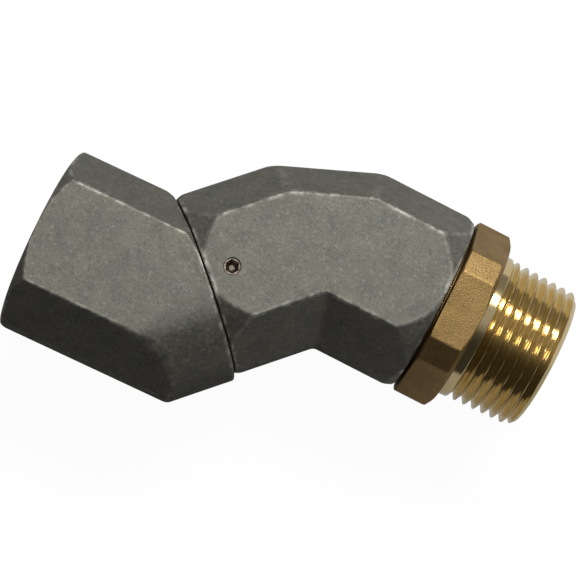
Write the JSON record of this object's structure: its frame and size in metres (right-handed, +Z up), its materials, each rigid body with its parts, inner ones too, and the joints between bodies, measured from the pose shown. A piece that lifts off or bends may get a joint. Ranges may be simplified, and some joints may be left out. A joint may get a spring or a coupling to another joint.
{
  "type": "fuel hose swivel",
  "caption": "Jointed fuel hose swivel: two angled cast metal bodies and a threaded brass adapter that turn on two ball-race joints.",
  "frame": {"origin": "on the inlet's axis, where the wall of its internal thread begins just inside the mouth", "axes": "+X runs from the inlet mouth into the swivel, +Y is the side that the middle body leans to at rest, +Z is up, square to the plane of the bends"},
  "size_m": [0.0899, 0.0525, 0.0328],
  "materials": {
    "cast_body": "cast, dark grey, matt",
    "brass": "as cast nut, turned thread",
    "steel": "ground",
    "black_oxide_screw": "dark, worn",
    "seal_rubber": "matt",
    "guide_plastic": "matt"
  },
  "bodies": {
    "middle": {"middle_body": "cast_body", "ball_plugs": "black_oxide_screw", "inlet_race_balls": "steel", "outlet_race_balls": "steel"},
    "inlet": {"inlet_body": "cast_body", "inlet_stem": "brass", "stem_seal": "seal_rubber", "inlet_dust_seal": "seal_rubber", "inlet_guide_ring": "guide_plastic", "inlet_backup_ring": "guide_plastic", "inlet_main_seal": "seal_rubber"},
    "outlet": {"outlet_adapter": "brass", "outlet_dust_seal": "seal_rubber", "outlet_guide_ring": "guide_plastic", "outlet_backup_ring": "guide_plastic", "outlet_main_seal": "seal_rubber"}
  },
  "joints": [
    {"name": "inlet_swivel", "type": "hinge", "parent": "middle", "child": "inlet", "pos_m": [0.0279, 0.00469, 0], "axis": [0.7193, 0.6947, 0], "continuous": true},
    {"name": "outlet_swivel", "type": "hinge", "parent": "middle", "child": "outlet", "pos_m": [0.06575, 0.01904, 0], "axis": [0.9994, -0.0349, 0], "continuous": true}
  ]
}
